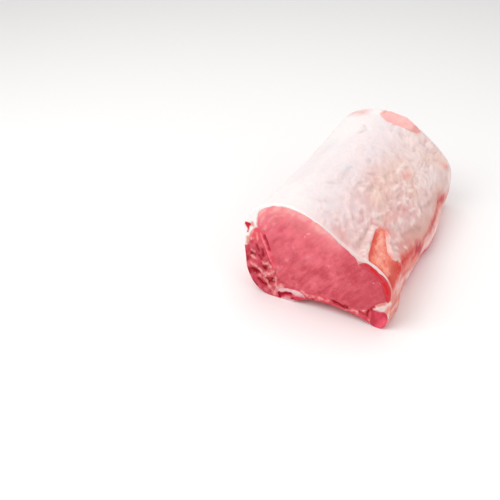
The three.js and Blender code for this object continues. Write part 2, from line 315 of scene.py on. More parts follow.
def swell_cuts(piece, ring, swell, dents=()):
    """Rounds a piece's edges at both cuts, lets its meat swell out, and presses dents in"""
    places = positions(piece)
    at_front, at_back, flat = on_cut(places)
    outer = closed_curve(FRONT_OUTLINE, OUTSIDE_POINTS)
    for at_cut, part, outwards in ((at_front, 0, -1), (at_back, 1, 1)):
        spots = places[at_cut][:, [0, 2]]
        edges = [place(edge, part)[:, [0, 2]] for edge in (ring(part), outer)]
        inside = np.clip(np.min([depth(spots, edge) for edge in edges], 0), 0, None)
        push = swell * (1 - np.exp(-inside / SWELL_REACH))
        push -= EDGE_PRESS * np.exp(-inside / EDGE_REACH)
        push += CUT_WAVE * ripple(*spots.T / CUT_WAVE_LENGTH, 5)
        for deep, reach, path in dents if at_cut is at_front else ():
            push -= deep * smooth(marks(warped(flat[at_cut], 61), [(reach, path)], reach / 2), 0, 1)
        places[at_cut, 1] += outwards * push
    move(piece, places)


class Wire:
    """A socket of a finish's nodes. Sums and products of wires add their Math nodes."""

    def __init__(self, finish, socket):
        self.finish, self.socket = finish, socket

    def maths(self, operation, first, second):
        return self.finish.node("Math", {"operation": operation}, {0: first, 1: second})

    def __add__(self, other):
        return self.maths("ADD", self, other)

    def __sub__(self, other):
        return self.maths("SUBTRACT", self, other)

    def __rsub__(self, other):
        return self.maths("SUBTRACT", other, self)

    def __mul__(self, other):
        return self.maths("MULTIPLY", self, other)

    __radd__, __rmul__ = __add__, __mul__


def colour(red, green, blue):
    """A colour as the eye sees it, from 0 to 255, for a shader's socket"""
    return tuple(((v / 255 + 0.055) / 1.055) ** 2.4 if v > 10 else v / 3295
                 for v in (red, green, blue)) + (1.0,)


class Finish:
    """A material: its surface, what stays the same all over it, and the nodes that vary it"""

    def __init__(self, name, constants):
        self.material = bpy.data.materials.new(name)
        self.material.use_nodes = True
        self.tree = self.material.node_tree
        self.surface = self.tree.nodes["Principled BSDF"]
        self.set(self.surface, constants)

    def set(self, node, sockets):
        """Sets a node's sockets, to values or by links from wires"""
        for key, value in sockets.items():
            if isinstance(value, Wire):
                self.tree.links.new(value.socket, node.inputs[key])
            else:
                node.inputs[key].default_value = value

    def node(self, kind, settings, sockets, output=0):
        """Adds a node with its settings first, and gives the wire from one of its outputs"""
        made = self.tree.nodes.new("ShaderNode" + kind)
        for key, value in settings.items():
            setattr(made, key, value)
        self.set(made, sockets)
        return Wire(self, made.outputs[output])

    def mask(self, name):
        """What the piece's mask of this name says"""
        return self.node("Attribute", {"attribute_name": name}, {}, "Fac")

    def blend(self, under, over, amount):
        """One colour laid over another by this amount"""
        return self.node("Mix", {"data_type": "RGBA"}, {0: amount, 6: under, 7: over}, 2)

    def ramp(self, value, low, high):
        """0 below low, 1 above high, and an even curve between them"""
        return self.node("MapRange", {"interpolation_type": "SMOOTHSTEP"},
                         {"Value": value, "From Min": low, "From Max": high})

    def noise(self, where, scale, detail, stretch=(1, 1, 1), turn=(0, 0, 0)):
        """Cloudy noise, drawn out by stretch along its own axes, which are turned"""
        spread = self.node("Mapping", {"vector_type": "TEXTURE"},
                           {"Vector": where, "Rotation": turn, "Scale": stretch})
        return self.node("TexNoise", {}, {"Vector": spread, "Scale": scale, "Detail": detail})


WET_MEAT = {
    "IOR": 1.4, "Specular IOR Level": 0.16, "Coat Roughness": 0.25,
    "Subsurface Weight": 0.2, "Subsurface Radius": (1.0, 0.3, 0.25), "Subsurface Scale": 0.002,
}
GRAIN_TURN = (0, math.radians(-52), 0)  # the lean's fibres rise to the right across the cuts


def lean_finish(name, lean, deep, light, pale, blood, rim, coarse=0.35):
    """Moist raw meat, cut or bare, in its own colour with deeper and lighter fibres

    Masks paint its rim, lighter places (glow), deeper ones (shade), blood and pale sinew, the last
    two with edges as ragged as coarse says. A mask that a piece doesn't have is 0.
    """
    finish = Finish(name, WET_MEAT)
    where = finish.node("TexCoord", {}, {}, "Object")
    patches = finish.noise(where, 70, 3)
    bundles = finish.node("TexVoronoi", {"feature": "SMOOTH_F1"}, {"Vector": where, "Scale": 480})
    fibres = finish.noise(where, 330, 3, (3.2, 2, 1), GRAIN_TURN)
    mottles = finish.noise(where, 150, 3, (1.5, 1, 1), GRAIN_TURN)
    specks = finish.noise(where, 430, 2)
    uneven = patches * 0.35 + mottles * 0.3 + fibres * 0.35
    body = finish.blend(deep, light, finish.ramp(uneven, 0.36, 0.64))
    body = finish.blend(body, lean, 0.35)
    body = finish.blend(body, deep, finish.ramp(bundles, 0.35, 0.75) * 0.2)
    body = finish.blend(body, rim, finish.mask("rim") * (mottles * 0.9 + fibres * 0.3 + 0.4))
    body = finish.blend(body, light, finish.mask("glow"))
    body = finish.blend(body, deep, finish.mask("shade"))
    body = finish.blend(body, light, finish.ramp(specks, 0.62, 0.78) * 0.2)
    ragged = (specks * 1.1 + mottles * 1.1 + patches * 0.5 - 1.35) * coarse
    bloody = finish.ramp(finish.mask("blood") + ragged, 0.08, 0.95)
    sinewy = finish.ramp(finish.mask("sinew") + ragged, 0.08, 0.95)
    body = finish.blend(body, blood, bloody)
    body = finish.blend(body, pale, sinewy)
    relief = bundles * 0.3 + specks * 0.35 + fibres * 0.5 + sinewy * 0.6 - bloody * 0.6
    finish.set(finish.surface, {
        "Base Color": body,
        "Roughness": specks * 0.2 + 0.34,
        "Coat Weight": finish.ramp(patches, 0.5, 0.7) * (1 - bloody) * 0.12,
        "Normal": finish.node("Bump", {}, {"Strength": 0.4, "Distance": 0.0006, "Height": relief}),
    })
    return finish.material


SHARP_ABOVE = math.radians(50)  # the edges of the cuts stay crisp


def dress(piece, finish, masks):
    """Gives a piece its finish and the masks that it paints by, and smooths its faces"""
    mesh = piece.data
    for name, values in masks.items():
        mesh.attributes.new(name, "FLOAT", "POINT").data.foreach_set("value", values)
    mesh.materials.clear()
    mesh.materials.append(finish)
    mesh.shade_smooth()
    mesh.set_sharp_from_angle(angle=SHARP_ABOVE)


BACK_STRIP_OUTLINE = [
    (-49.8, 60.5), (-45.9, 58.5), (-43, 52), (-40.3, 44.5), (-37.8, 37), (-35.9, 28.6),
    (-37.4, 25.8), (-40.4, 30), (-43.2, 37), (-46.2, 44), (-49.2, 51.5), (-51.4, 57.5),
]
MUSCLE_PARTS = np.sort([*np.linspace(0, 1, 37), 0.002, 0.012, 0.988, 0.998])

strip_edge = warped(even_edge(BACK_STRIP_OUTLINE, 0.6), 11, 0.35, 4)
strip_meat = to_object("strip_meat", run_along(strip_edge, MUSCLE_PARTS, grain=0.6))
swell_cuts(strip_meat, lambda part: strip_edge, 0.3)
places = positions(strip_meat)
_, _, flat = on_cut(places)
ragged = warped(flat, 51)
dress(strip_meat, lean_finish(
    "strip_lean", lean=colour(238, 88, 104), deep=colour(214, 58, 80), light=colour(250, 122, 134),
    pale=colour(255, 146, 154), blood=colour(176, 34, 60), rim=colour(238, 96, 108),
), {
    "blood": marks(ragged, [(1.5, [(-46.5, 56), (-43.5, 50), (-41.5, 45)])], 1.6)
    + 0.35 * marks(ragged, [(0.6, [(-41, 42), (-38.6, 35), (-37.2, 29)])], 1.4),
    "sinew": 0.8 * marks(ragged, [(1.3, [(-50, 56), (-47.8, 49), (-44.6, 41), (-41.8, 34)])], 1.8),
    "rim": smooth(flat[:, 1], 54, 60),
})
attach(strip_meat, "root")
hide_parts("back_strip")


# The flank muscle: a bright red crescent at the right of the front cut. Behind the cut its upper
# edge climbs over the eye, and it shows orange pink through a window in the fat and darker along
# a long band below it, under a thin clear skin.
FLANK_OUTLINE = [
    (32.2, 53.3), (36.5, 56), (40.5, 56.2), (44.8, 53.8), (48.8, 51), (53, 48.8), (55.8, 46),
    (57.6, 42.8), (59.6, 38.5), (60.3, 33), (59.9, 28.2), (58.2, 25.4), (54.6, 31), (51, 39.5),
    (43.5, 47.2), (34, 51.3),
]
FLANK_CLIMB = np.array([-5.5, 6.6])
FLANK_CLIMBS = (1, 12)
FLANK_CLIMB_FROM = 44
FLANK_CLIMB_OVER = 12
FLANK_DROP = 1.3
FLANK_DROPS = (40, 110)
FLANK_RISES = (150, 180)
FLANK_DROP_FROM = 36
FLANK_PARTS = np.concatenate([np.arange(0, 0.12, 0.006), np.linspace(0.12, 1, 56)])
FLANK_PROUD = 0.3  # how much fuller it lies where the fat over it is cut away
FLANK_SUNK = 0.7  # how much deeper it lies under the fat
FLANK_BARE_TO = (52, 66)
FLANK_OUTWARDS = np.array([0.8, 0.6])
FLANK_OUTER = (55, 62)  # how far outwards its outer side lies
FLANK_STARTS = (0.5, 4)
# Strokes as (half width, path): the red at the front cut, and what shows in the window, with
# painted shade along the window's edges under the fat's lip
FLANK_RED = [
    (0.6, [(38, 54), (41, 53.4)]), (1.2, [(42.6, 52.6), (46.5, 49.6), (51, 45.6)]),
    (1.8, [(53.4, 42), (56.2, 38.4), (57, 34)]), (0.6, [(57.6, 32), (57.6, 28)]),
]
FLANK_LIP_SHADE = [
    (1.6, [(0, 71.6), (8, 73.4), (20, 75.4), (34, 76.8)]), (2.4, [(0, 70), (2, 58), (3, 50)]),
    (1.0, [(36, 77.5), (44, 75)]),
]
FLANK_PALE = [(4, [(32, 68), (44, 73)]), (2, [(10, 62), (20, 62)]), (1.5, [(14, 68), (28, 67)])]


def settle_flank(points, part):
    """Behind the front cut the muscle's upper edge climbs, and its foot drops and rises again"""
    distance = part * LENGTH
    climb = smooth(distance, *FLANK_CLIMBS) * np.clip(
        (FLANK_CLIMB_FROM - points[:, 0]) / FLANK_CLIMB_OVER, 0, 1)
    drop = smooth(distance, *FLANK_DROPS) * (1 - smooth(distance, *FLANK_RISES))
    settled = points + FLANK_CLIMB * climb[:, None]
    settled[:, 1] -= np.maximum(0, FLANK_DROP_FROM - points[:, 1]) * FLANK_DROP * drop
    outer = smooth(settled @ FLANK_OUTWARDS, *FLANK_OUTER) * smooth(distance, *FLANK_STARTS)
    bare = 1 - smooth(distance, *FLANK_BARE_TO)
    proud = outer * (FLANK_PROUD * bare - FLANK_SUNK * (1 - bare))
    return settled + proud[:, None] * FLANK_OUTWARDS


def arcs():
    """Direction from the axis against distance round the front outline, from its lower right"""
    edge = closed_curve(FRONT_OUTLINE, ROUND_POINTS)
    steps = np.hypot(*np.diff(edge, axis=0).T)
    return (directions(edge) - directions(edge[0])) % (2 * math.pi), np.append(0, np.cumsum(steps))


def unrolled(places):
    """Each point's distance along the loin and round it"""
    front, back = behind_cuts(places)
    turns, distances = arcs()
    turn = (directions(places[:, [0, 2]] - [TO_MIDDLE, 0])
            - directions(np.array(FRONT_OUTLINE[0], float))) % (2 * math.pi)
    return LENGTH * front / (front + back), np.interp(turn, turns, distances)


flank_edge = grow(warped(even_edge(FLANK_OUTLINE, 0.7), 12, 0.3, 3), -0.15)
flank_meat = to_object("flank_meat", run_along(flank_edge, FLANK_PARTS, settle_flank, 0.6))
swell_cuts(flank_meat, lambda part: settle_flank(flank_edge, part), 0.3)
places = positions(flank_meat)
_, _, flat = on_cut(places)
at_cuts = 1 - smooth(np.minimum(*behind_cuts(places)), 0.6, 2.5)
side = warped(np.column_stack(unrolled(places)), 31, 1.2, 7)
ragged = warped(flat, 33, 0.8)
dress(flank_meat, lean_finish(
    "flank_lean", lean=colour(244, 134, 114), deep=colour(212, 68, 58), light=colour(252, 166, 146),
    pale=colour(255, 178, 158), blood=colour(220, 30, 38), rim=colour(206, 76, 88),
), {
    "blood": at_cuts * marks(ragged, FLANK_RED, 2.6),
    "sinew": at_cuts * marks(flat, [(0.7, [(40.3, 46.2), (40.5, 46.8)])], 0.8)
    + (1 - at_cuts) * (0.5 * smooth(ripple(side[:, 0] / 14, side[:, 1] / 3, 31), 0.1, 0.8)
                        + 0.7 * marks(side, FLANK_PALE, 5)),
    "rim": 1.2 * at_cuts,
    # darker low down the flank, and painted shade along the window's edges under the fat's lip
    "shade": (1 - at_cuts) * np.clip(0.85 * smooth(side[:, 1], 62, 48)
                                     + 0.85 * marks(side, FLANK_LIP_SHADE, 2.5), 0, 1),
})
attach(flank_meat, "root")
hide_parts("flank_muscle")


# The round eye of lean: the back muscle, which fills most of each cut and runs the whole length
# of the loin. Rose pink and fine grained, with a salmon rim under the fat and deeper red towards
# the flank. At the back cut it comes up to the surface, where the fat is trimmed.
EYE_OUTLINE = [
    (-53, 62), (-52.6, 72), (-48.5, 80), (-39, 85), (-27.5, 86.6), (-15, 84.7), (-4, 80.3),
    (6, 75), (16, 67.6), (25, 61.9), (30.2, 57.4), (33, 53), (43, 49), (50.4, 41.8), (57, 33),
    (58.6, 27.4), (52.5, 22.4), (47.4, 18), (43.6, 14.2), (35, 11.5), (25, 12), (13, 13.8),
    (2, 13.6), (-12, 13.8), (-24, 14.8), (-33, 18), (-38, 26), (-42, 34.5), (-45.4, 43.5),
    (-49.4, 53.5),
]
EYE_RISE = 1.2  # how much fuller it lies where it comes up to the surface,
EYE_BULGE = 1.5  # and how much more at the right of that place
EYE_BULGE_AT = 14
EYE_BULGE_REACH = 8
EYE_RISES = (190, 206)
EYE_TOP_ABOVE = (50, 66)
EYE_TOP_RIGHT_OF = (-12, -2)
OVERRUN = 0.03  # part of the length by which a cutter runs past each end
TUCK = 0.3  # how far a piece reaches under the edge of the one beside it
# Strokes as (half width, path): pale and faint sinews, flecks of fat, and darker places
EYE_PALE = [
    (0.9, [(-50.5, 65), (-48.5, 72), (-43, 78.5), (-35, 82.5)]),
    (0.6, [(-46, 62), (-44, 69), (-38.5, 75.5), (-29, 79.5)]),
    (0.4, [(-41, 62), (-38.5, 69), (-33, 73.5)]),
]
EYE_FAINT = [
    (1.1, [(-20, 36), (-13, 42), (-8, 48)]), (1.0, [(-27, 38), (-20, 46), (-17, 52)]),
    (0.9, [(-18.4, 16.4), (-17.6, 19)]), (0.8, [(37, 12.2), (40, 13.6)]),
    (0.7, [(-22, 62), (-17, 68)]), (0.6, [(-32, 30), (-28, 35)]), (0.6, [(2, 52), (6, 58)]),
    (0.5, [(14, 38), (20, 47)]), (0.5, [(28, 22), (31, 30)]), (0.8, [(-34.5, 24), (-34, 31)]),
]
EYE_FLECKS = [
    (0.8, [(-9.8, 68.4), (-8.6, 69)]), (0.5, [(45.6, 40.6), (46.4, 40)]),
    (0.4, [(-12.6, 64.4), (-12, 65)]), (0.4, [(8, 44), (9, 44.4)]), (0.4, [(-2, 24), (-1, 24.6)]),
    (0.4, [(27, 33), (27.8, 34)]), (0.35, [(-22, 52), (-21, 53)]), (0.35, [(15, 24), (16, 25)]),
    (0.35, [(-30, 46), (-29, 47)]),
]
EYE_BRUISE = (0.6, [(16.6, 69), (18.4, 67.6)])  # where it lies open at the back end
EYE_DARK = [
    (1.3, [(-37.2, 56), (-36.6, 58)]), (0.9, [(16, 55.5), (20.5, 57.8)]),
    (1.3, [(51.3, 32), (52, 33)]), (1.1, [(-15.4, 17.5), (-15, 19.4)]),
    (0.7, [(29, 47), (29.5, 54)]), (0.6, [(-24, 22), (-20, 25)]), (0.5, [(2, 32), (6, 38)]),
    (0.5, [(22, 30), (26, 36)]), (0.7, [(8, 60), (15, 56)]), (0.6, [(-8, 30), (-5, 34)]),
    (0.5, [(38, 22), (41, 31), (42, 38)]), (0.5, [(-27, 46), (-24, 51)]),
]


def beyond_ends(parts):
    """These parts of the length, and a little way past both cuts"""
    return [-OVERRUN, *parts, 1 + OVERRUN]


def room_for(edge, parts=MUSCLE_PARTS, settle=as_drawn):
    """The space that a muscle takes up in its neighbours, running past both cuts"""
    return to_object("room", run_along(grow(edge, -TUCK), beyond_ends(parts), settle))


def carve(piece, tool, operation):
    """Cuts a piece by a tool, or to it, and takes the tool away"""
    cut = piece.modifiers.new("cut", "BOOLEAN")
    cut.object, cut.operation, cut.solver = tool, operation, "MANIFOLD"
    shape = piece.evaluated_get(bpy.context.evaluated_depsgraph_get())
    mesh = bpy.data.meshes.new_from_object(shape)
    piece.modifiers.clear()
    piece.data = mesh
    bpy.data.objects.remove(tool)


def drop_crumbs(piece):
    """Takes away the crumbs that cutting left beside the piece itself"""
    shape = bmesh.new()
    shape.from_mesh(piece.data)
    unseen, parts = set(shape.verts), []
    while unseen:
        ahead = [unseen.pop()]
        parts.append([])
        while ahead:
            vertex = ahead.pop()
            parts[-1].append(vertex)
            beside = {edge.other_vert(vertex) for edge in vertex.link_edges} & unseen
            unseen -= beside
            ahead.extend(beside)
    crumbs = [vertex for part in sorted(parts, key=len)[:-1] for vertex in part]
    bmesh.ops.delete(shape, geom=crumbs, context="VERTS")
    shape.to_mesh(piece.data)
    shape.free()


def settle_eye(points, part):
    """The lean comes up to the surface towards the back cut"""
    top = smooth(points[:, 1], *EYE_TOP_ABOVE) * smooth(points[:, 0], *EYE_TOP_RIGHT_OF)
    bulge = EYE_BULGE * np.exp(-((points[:, 0] - EYE_BULGE_AT) / EYE_BULGE_REACH) ** 2)
    rise = (EYE_RISE + bulge) * smooth(part * LENGTH, *EYE_RISES) * top
    return points + rise[:, None] * [0, 1]


eye_edge = grow(warped(even_edge(EYE_OUTLINE, 0.8), 13, 0.35, 3.5), -0.25)
eye_meat = to_object("eye_meat", run_along(eye_edge, MUSCLE_PARTS, settle_eye, 0.75))
carve(eye_meat, room_for(flank_edge, FLANK_PARTS, settle_flank), "DIFFERENCE")
carve(eye_meat, room_for(strip_edge), "DIFFERENCE")
drop_crumbs(eye_meat)
swell_cuts(eye_meat, lambda part: settle_eye(eye_edge, part), 0.6)
places = positions(eye_meat)
_, _, flat = on_cut(places)
_, back = behind_cuts(places)
bare = smooth(back, 30, 8) * smooth(back, 0, 0.4)  # where it lies open at the back end
from_edge = depth(flat, eye_edge) + ripple(*flat.T / 5, 71)
topside = smooth(flat[:, 1] + 0.25 * flat[:, 0], 52, 66) * smooth(flat[:, 0], 26, -8)
pale_edge = topside * (1 - smooth(from_edge + 0.8 * ripple(*flat.T / 2.5, 72), 0.2, 2.4))
ragged = warped(flat, 53)
grain = ragged @ [[0.62, -0.79], [0.79, 0.62]]  # along and across the fibres
dress(eye_meat, lean_finish(
    "eye_lean", lean=colour(222, 98, 110), deep=colour(190, 60, 74), light=colour(246, 124, 138),
    pale=colour(255, 178, 178), blood=colour(160, 34, 52), rim=colour(255, 196, 188),
), {
    "blood": 0.35 * marks(ragged, EYE_DARK, 2),
    "sinew": 0.6 * marks(ragged, EYE_PALE, 1.8) + 0.42 * marks(ragged, EYE_FAINT, 2.6)
    + 0.7 * marks(ragged, EYE_FLECKS, 0.7) + 0.5 * pale_edge,
    "rim": np.clip(topside * (1.1 * (1 - smooth(from_edge, 0.5, 8))
                              + 0.35 * (1 - smooth(from_edge, 2, 22))) + bare, 0, 1),
    "glow": (1 - bare) * smooth(flat[:, 1] - 0.4 * flat[:, 0], 34, 74)
    * np.clip(0.5 + 0.4 * ripple(grain[:, 0] / 10, grain[:, 1] / 3.4, 74), 0, 1),
    "shade": (1 - bare) * np.clip(
        0.55 * smooth(flat[:, 0] - 0.4 * flat[:, 1], -10, 42)
        + 0.35 * smooth(-flat[:, 0], 26, 38) * smooth(flat[:, 1], 62, 50), 0, 1)
    + 0.5 * bare * marks(flat, [EYE_BRUISE], 1.6),
})
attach(eye_meat, "root")
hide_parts("eye_muscle")


# The cut rib at the lower left of the front cut: white bone and gristle round dark marrow, held
# in the meat over the ribs. The saw went through both, and the rib ends a little way in.
RIB_OUTLINE = [
    (-33.6, 2), (-34, 8), (-29, 11.3), (-20, 12.6), (-13, 11.6), (-9.4, 8), (-9, 2), (-16, -3),
    (-28, -3),
]
RIB_MIDDLE = np.array([-22.0, 5.0])
RIB_DEPTH = 11.0
RIB_TAPER = 0.8
RIB_MARROW = [
    (1.9, [(-32.6, 1.5), (-32.2, 5)]), (1.5, [(-30, 5.2), (-26.5, 7), (-22.5, 7.8)]),
    (1.1, [(-21.6, 3), (-19.8, 3.6)]),
]
RIB_HOLLOW = (0.6, 1.4, [(-32, 3.5), (-26, 7), (-22, 7.8)])
RIB_RED = [(2.4, [(-18, 4.2), (-14.5, 5), (-11, 5.4)]), (2.2, [(-30, 3.5), (-27, 5.5), (-21, 6)])]


def settle_rib(points, part):
    """The rib gets thinner inwards and ends round"""
    inwards = min(max(part * LENGTH / RIB_DEPTH, 0), 1)
    return (points - RIB_MIDDLE) * math.sqrt(1 - RIB_TAPER * inwards ** 2) + RIB_MIDDLE


def above(height):
    """A block that reaches up from this height, all round the loin"""
    corners = [(x, y, z) for z in (height, height + 2 * WIDTH)
               for x, y in ((-WIDTH, -LENGTH), (WIDTH, -LENGTH), (WIDTH, LENGTH), (-WIDTH, LENGTH))]
    sides = [[k, (k + 1) % 4, 4 + (k + 1) % 4, 4 + k] for k in range(4)]
    return to_object("block", (np.array(corners), [[0, 1, 2, 3], [4, 5, 6, 7], *sides]))


OUTSIDE_PARTS = np.linspace(0, 1, 145)
RIB_RIDGE = 1.8  # how far a rib stands out of the underside
RIB_PITCH = 26.0
RIBS_RIGHT_OF = (-24, -8)
RIBS_LEFT_OF = (36, 46)
UNDERSIDE_BELOW = (7, 9)
FAT_WAVES = [(0.45, 17, 13), (0.3, 9, -21)]  # height, then length along and across over 2 pi
FAT_SIDE_ABOVE = (55, 75)
CALM_ENDS = 0.06


def settle_outside(points, part):
    """The ribs stand out of the underside, and the fat side is slightly wavy"""
    distance = part * LENGTH
    across, up = points.T
    underside = ((1 - smooth(up, *UNDERSIDE_BELOW)) * smooth(across, *RIBS_RIGHT_OF)
                 * (1 - smooth(across, *RIBS_LEFT_OF)))
    rise = RIB_RIDGE * underside * (0.5 + 0.5 * math.cos(2 * math.pi * distance / RIB_PITCH))
    fat_side = smooth(up, *FAT_SIDE_ABOVE) * smooth(min(part, 1 - part), 0, CALM_ENDS)
    for height, along, sideways in FAT_WAVES:
        rise = rise + fat_side * height * np.sin(distance / along + across / sideways)
    return np.column_stack([across, up + rise])


def whole_loin():
    """The outside of the loin as a solid, running past both cuts, standing flat on its floor"""
    edge = even_edge(FRONT_OUTLINE, 1.4)
    loin = to_object("whole", run_along(edge, beyond_ends(OUTSIDE_PARTS), settle_outside))
    carve(loin, above(0), "INTERSECT")
    return loin


rib_parts = np.linspace(0, RIB_DEPTH / LENGTH, 7)
rib_edge = even_edge(RIB_OUTLINE, 0.6)
sawn_rib = to_object("sawn_rib", run_along(rib_edge, rib_parts, settle_rib, 0.6))
carve(sawn_rib, whole_loin(), "INTERSECT")
swell_cuts(sawn_rib, lambda part: rib_edge, 0.5, [RIB_HOLLOW])
places = positions(sawn_rib)
_, _, flat = on_cut(places)
ragged = warped(flat, 55, 0.6)
dress(sawn_rib, lean_finish(
    "sawn_bone", lean=colour(234, 192, 196), deep=colour(218, 138, 150),
    light=colour(250, 222, 220), pale=colour(255, 236, 232), blood=colour(168, 8, 44),
    rim=colour(218, 52, 80),
), {
    "blood": marks(ragged, RIB_MARROW, 0.9),
    "rim": marks(ragged, RIB_RED, 1.1),
    "shade": 0.8 * marks(flat, [(1.4, [(-26, 3.2), (-24, 3.6)])], 1),
})
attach(sawn_rib, "root")
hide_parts("cut_rib")


# The meat over the ribs: the dark, coarse meat at the left of the front cut, which also covers
# the whole underside. Pale sinews run through it, and dark hollows show where blood vessels and
# the gaps beside the bones were cut across.
RIB_MEAT_OUTLINE = [
    (-72, 40), (-64.5, 42), (-61.2, 44.5), (-60.2, 50), (-58.4, 56), (-54.5, 60.8), (-50.6, 60.8),
    (-48.6, 54), (-45.6, 46), (-42.6, 39), (-39.8, 31.9), (-36, 27), (-32.5, 21.5), (-28, 17.6),
    (-22, 16.4), (-12, 15.4), (2, 15), (13, 15), (24, 13.6), (34, 13.4), (42.5, 15.4), (46, 15),
    (47, 9), (46.6, 5), (46, 3), (44.6, 1), (43, -2), (41, -5.5), (37, -8), (25, -8), (-50, -8),
    (-65, -8), (-72, 0), (-73, 20),
]
RIB_MEAT_WAVES = [(1.9, 17), (1.2, 7.4)]  # height and length over 2 pi
# Each as how deep, half width and path
RIB_MEAT_HOLLOWS = [
    (1.0, 2.0, [(-57, 20.6), (-52, 20.4)]), (0.8, 1.6, [(-46, 26), (-45, 25)]),
    (0.6, 2.2, [(-41.5, 15), (-38.5, 16)]), (0.6, 1.2, [(-51, 12.5), (-45, 9.8)]),
    (0.6, 1.2, [(-57, 36), (-55.4, 35.4)]), (0.4, 1.0, [(-48, 42.5), (-47.3, 37)]),
    (0.6, 1.0, [(14, 13), (20, 11.2), (26, 10.2)]), (0.5, 1.0, [(43.4, 14), (43, 9)]),
]
RIB_MEAT_BLOOD = [
    (2.4, [(-57, 20.6), (-52, 20.4)]), (2.3, [(-46, 26), (-45, 25)]),
    (2.7, [(-41.5, 15), (-38.8, 16.4)]), (1.3, [(-51.5, 12.8), (-48, 10.6), (-44.4, 9.4)]),
    (1.6, [(-57, 36.2), (-55.6, 35.4)]), (1.2, [(-48, 43), (-47.2, 36.5)]),
    (0.8, [(-53.5, 46), (-52, 41)]), (1.2, [(13.5, 13.2), (20, 11.2), (26.5, 10.2)]),
    (1.1, [(43.4, 15), (43, 9)]), (1.2, [(-60.2, 21), (-59.4, 17)]),
    (0.9, [(36, 10.4), (40, 9.6)]), (0.6, [(-37.4, 24.4), (-36.6, 22.6)]),
    (0.8, [(-51, 36), (-49, 33)]), (0.7, [(-9, 7.4), (-2, 7.8)]), (0.8, [(-62, 33), (-61.6, 28)]),
    (0.7, [(-56, 10), (-53, 6.5)]),
]
RIB_MEAT_SINEW = [
    (1.1, [(-57.5, 27), (-54.2, 25.4), (-50.4, 22.4), (-47, 19.6)]),
    (1.4, [(-47.4, 29.8), (-43, 30.4)]), (1.2, [(-41, 29), (-40.6, 25)]),
    (1.5, [(-37, 25.6), (-40, 22), (-43, 20)]), (0.9, [(-44.8, 19), (-46.6, 15.6), (-44, 12.4)]),
    (0.9, [(-57.5, 33), (-53, 32.2)]), (0.9, [(-58, 39.2), (-55.6, 39)]),
    (1.4, [(-37.6, 2), (-36, 6.5), (-34.4, 9.6), (-30, 12.6)]), (1.2, [(-36, 12), (-36.6, 18)]),
    (0.9, [(-43, 9.6), (-39, 6.6)]), (0.8, [(-50, 16.4), (-45.6, 14.2)]),
    (1.2, [(-12, 12.6), (-7, 11), (-3, 12)]), (0.8, [(2, 12), (7, 11.4), (12, 12.4)]),
    (0.9, [(-8.4, 9.4), (-6.6, 9.4)]), (1.3, [(28, 8.6), (31, 9.2), (34, 9.8)]),
    (1.0, [(21, 7.4), (26, 7.6)]), (0.9, [(44.6, 5.4), (46, 5.6)]),
    (1.0, [(38, 12.4), (40.5, 13.4)]), (1.1, [(-58.5, 50), (-57.2, 57)]),
    (0.9, [(-60.8, 46), (-60.4, 52)]), (0.6, [(-54, 56), (-52, 50)]),
]


def underside_rows(places):
    """Where the ribs lie under the thin skin of the underside: 1 on a rib, 0 between two"""
    front, _ = behind_cuts(places)
    across = places[:, 0] + 2 * ripple(places[:, 0] / 18, front / 18, 3)
    rows = 0.5 + 0.5 * np.cos(2 * math.pi * (front + 0.08 * across) / RIB_PITCH)
    return rows * (1 - smooth(places[:, 2], 4, 14))


def settle_rib_meat(points, part):
    """The line where the fat ends on the left side wanders up and down behind the front cut"""
    distance = part * LENGTH
    left = smooth(-points[:, 0], 54, 62) * smooth(points[:, 1], 30, 40)
    left *= smooth(distance, 2, 20)
    wave = sum(height * math.sin(distance / length) for height, length in RIB_MEAT_WAVES)
    return points + (left * wave)[:, None] * [0, 1]


rib_meat_edge = warped(even_edge(RIB_MEAT_OUTLINE, 0.7), 14, 0.4, 4)
rib_side_meat = to_object(
    "rib_side_meat", run_along(rib_meat_edge, MUSCLE_PARTS, settle_rib_meat, 0.7))
carve(rib_side_meat, whole_loin(), "INTERSECT")
rib_room = grow(even_edge(RIB_OUTLINE, 0.8), -TUCK)
room_parts = [-OVERRUN, *rib_parts]
carve(rib_side_meat, to_object("room", run_along(rib_room, room_parts, settle_rib)), "DIFFERENCE")
carve(rib_side_meat, room_for(strip_edge), "DIFFERENCE")
carve(rib_side_meat, room_for(eye_edge, settle=settle_eye), "DIFFERENCE")
swell_cuts(rib_side_meat, lambda part: settle_rib_meat(rib_meat_edge, part), 0.3, RIB_MEAT_HOLLOWS)

places = positions(rib_side_meat)
_, _, flat = on_cut(places)
front, back = behind_cuts(places)
along, around = unrolled(places)
ragged = warped(flat, 61)
at_cuts = 1 - smooth(np.minimum(front, back), 0.6, 3)
skin = 1 - at_cuts
streaks = ripple(along / 24, around / 3.4, 8) + 0.7 * ripple(along / 8, around / 1.6, 9)
near_fat = (smooth(flat[:, 1] + 3 * ripple(along / 11, around / 4, 73), 33, 44)
            * smooth(-flat[:, 0], 45, 55))
dress(rib_side_meat, lean_finish(
    "rib_meat", lean=colour(214, 70, 92), deep=colour(180, 40, 62), light=colour(234, 116, 130),
    pale=colour(250, 178, 174), blood=colour(150, 0, 16), rim=colour(238, 88, 102), coarse=1.0,
), {
    "blood": marks(ragged, RIB_MEAT_BLOOD, 1.5) * at_cuts,
    "sinew": np.clip(0.75 * marks(ragged, RIB_MEAT_SINEW, 1.7) * at_cuts
                     + skin * (0.6 * underside_rows(places) + 0.4 * np.clip(streaks - 0.3, 0, 1)
                               + 0.85 * near_fat), 0, 1),
    "rim": np.clip(smooth(flat[:, 1], 42, 57) + 0.5 * smooth(flat[:, 0], -40, 10), 0, 1),
    "glow": skin * np.clip(0.45 + 0.5 * streaks, 0, 0.9),
    "shade": 0.5 * at_cuts * smooth(ripple(flat[:, 0] / 5, flat[:, 1] / 7, 66), -0.2, 0.6)
    * smooth(-flat[:, 0], 35, 44) * (1 - smooth(flat[:, 1], 46, 52)),
})
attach(rib_side_meat, "root")
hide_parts("rib_meat")


